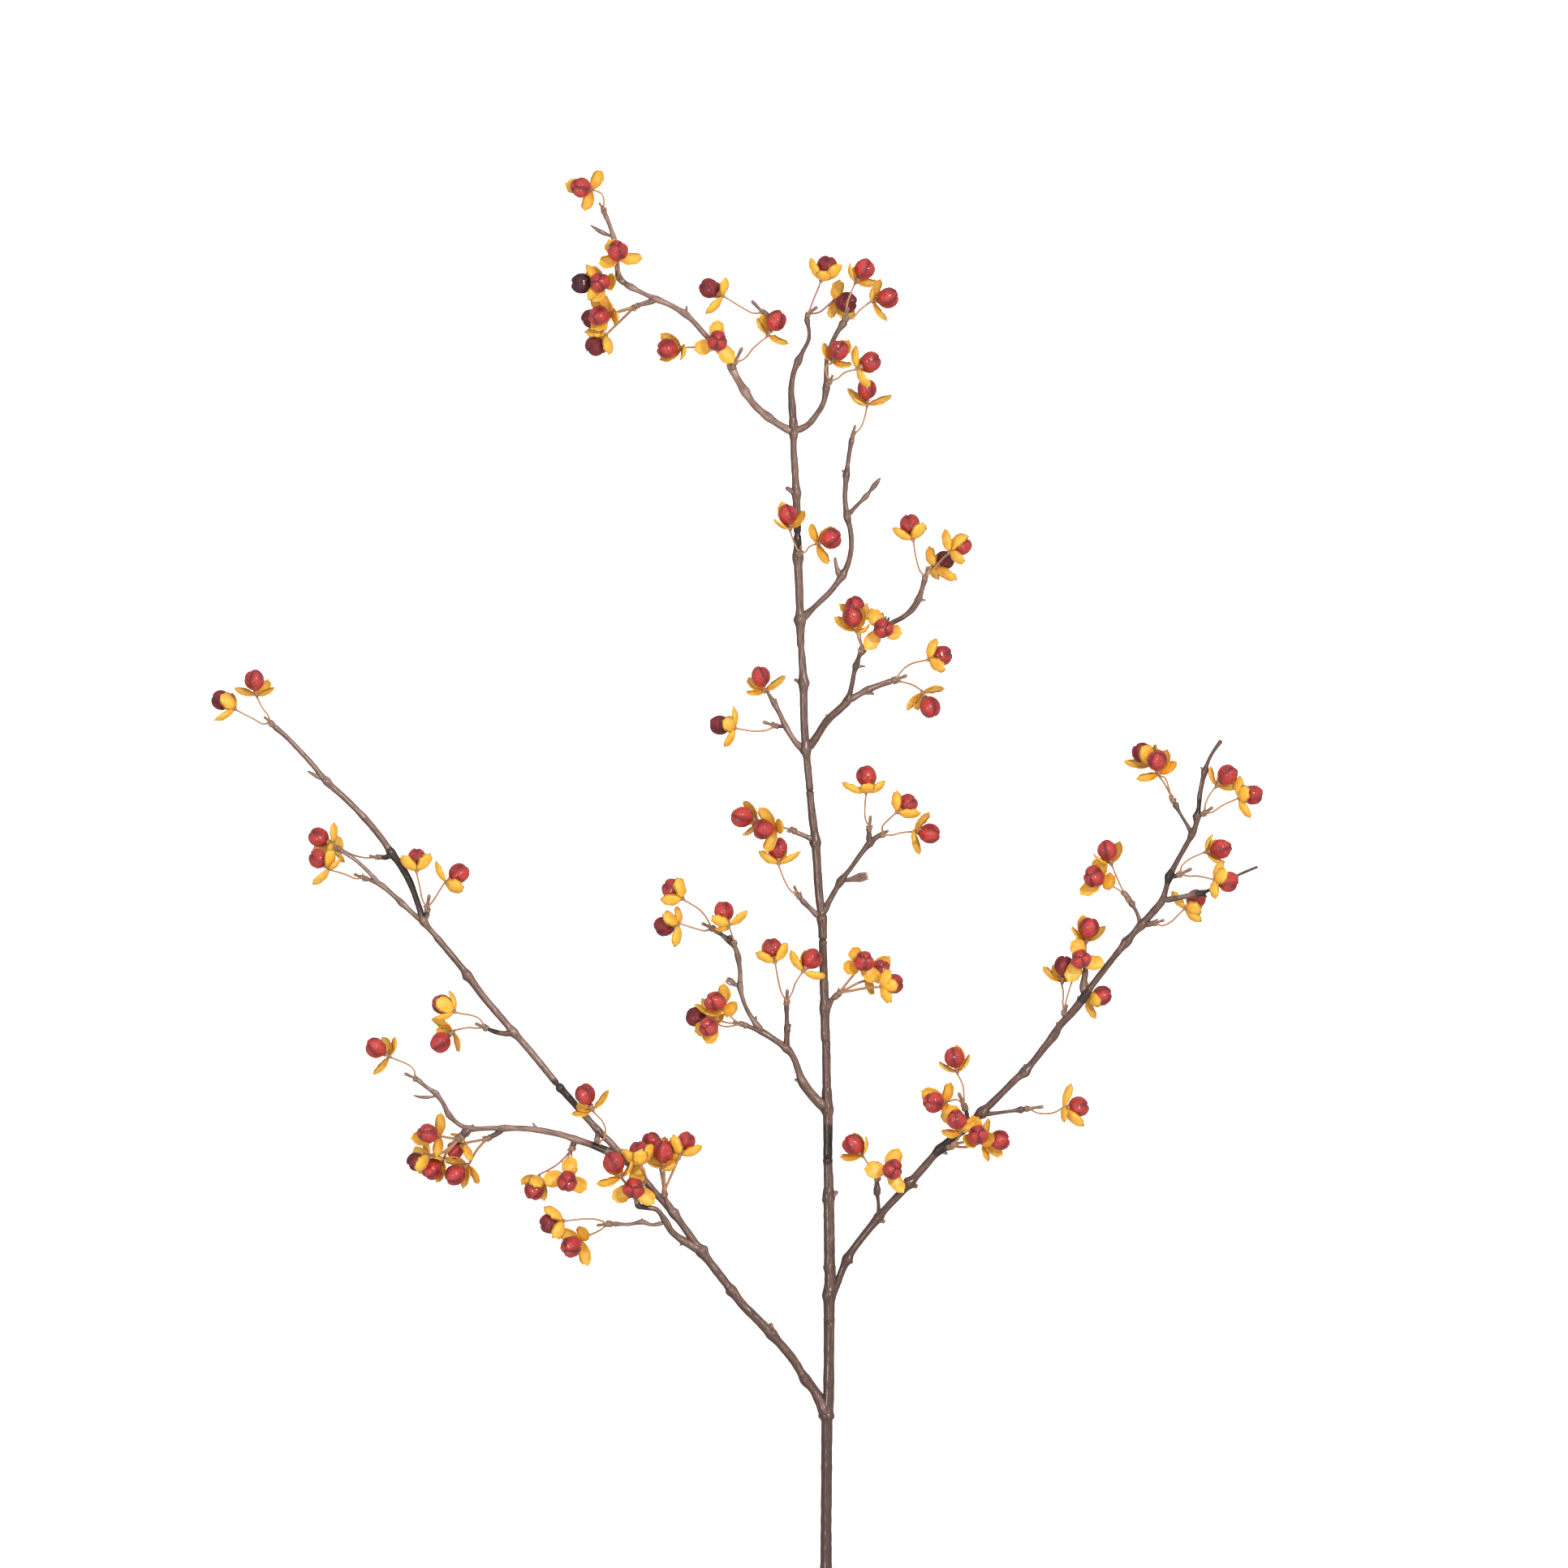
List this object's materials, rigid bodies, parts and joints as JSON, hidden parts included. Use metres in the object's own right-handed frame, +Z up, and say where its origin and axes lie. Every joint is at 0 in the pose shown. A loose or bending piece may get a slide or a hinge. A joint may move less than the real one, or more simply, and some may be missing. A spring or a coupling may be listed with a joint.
{
  "type": "berry branch",
  "caption": "Cut woody branch lying down, its forked twigs carrying stalked bunches of round lobed red berries in open three-valved yellow husks.",
  "frame": {"origin": "middle of the branch's bounding box seen from above, on the surface that it lies on", "axes": "+Y runs along the stem from its cut end to its tip, +X is to the right of someone who looks down on it with the tip away from them, +Z is up from the surface"},
  "size_m": [0.6459, 0.961, 0.0777],
  "materials": {
    "bark": "smooth satin bark, grey brown, with paler streaks and darker bands",
    "fruit": "glossy red berries in satin yellow husks on dull tan stalks"
  },
  "bodies": {
    "root": {"woody_stem": "bark", "bunch_crown_tip": "fruit", "bunch_crown_shoulder": "fruit", "bunch_crown_low": "fruit", "bunch_crown_inner": "fruit", "bunch_crown_hook": "fruit", "bunch_crown_high": "fruit", "bunch_crown_right": "fruit", "bunch_crown_elbow": "fruit", "bunch_upper_right": "fruit", "bunch_upper_stem": "fruit", "bunch_fork_up": "fruit", "bunch_fork_tip": "fruit", "bunch_fork_low": "fruit", "bunch_fork_left": "fruit", "bunch_fork_left_far": "fruit", "bunch_middle_left": "fruit", "bunch_middle_left_low": "fruit", "bunch_middle_right_up": "fruit", "bunch_middle_right": "fruit", "bunch_lower_right": "fruit", "bunch_inner_up": "fruit", "bunch_inner_low": "fruit", "bunch_inner_stem": "fruit", "bunch_inner_far": "fruit", "bunch_left_tip": "fruit", "bunch_left_upper": "fruit", "bunch_left_black": "fruit", "bunch_left_low_tip": "fruit", "bunch_left_low": "fruit", "bunch_left_twig": "fruit", "bunch_left_arm_tip": "fruit", "bunch_left_arm_end": "fruit", "bunch_left_arm_twig": "fruit", "bunch_left_arm_drop": "fruit", "bunch_left_spur": "fruit", "bunch_left_fork": "fruit", "bunch_left_knee": "fruit", "bunch_left_fork_low": "fruit", "bunch_right_low": "fruit", "bunch_right_bend": "fruit", "bunch_right_back": "fruit", "bunch_right_low_tip": "fruit", "bunch_right_thumb": "fruit", "bunch_right_riser": "fruit", "bunch_right_under": "fruit", "bunch_right_upper": "fruit", "bunch_right_upper_twig": "fruit", "bunch_right_thorn": "fruit", "bunch_right_far_twig": "fruit", "bunch_right_far": "fruit"}
  },
  "joints": []
}
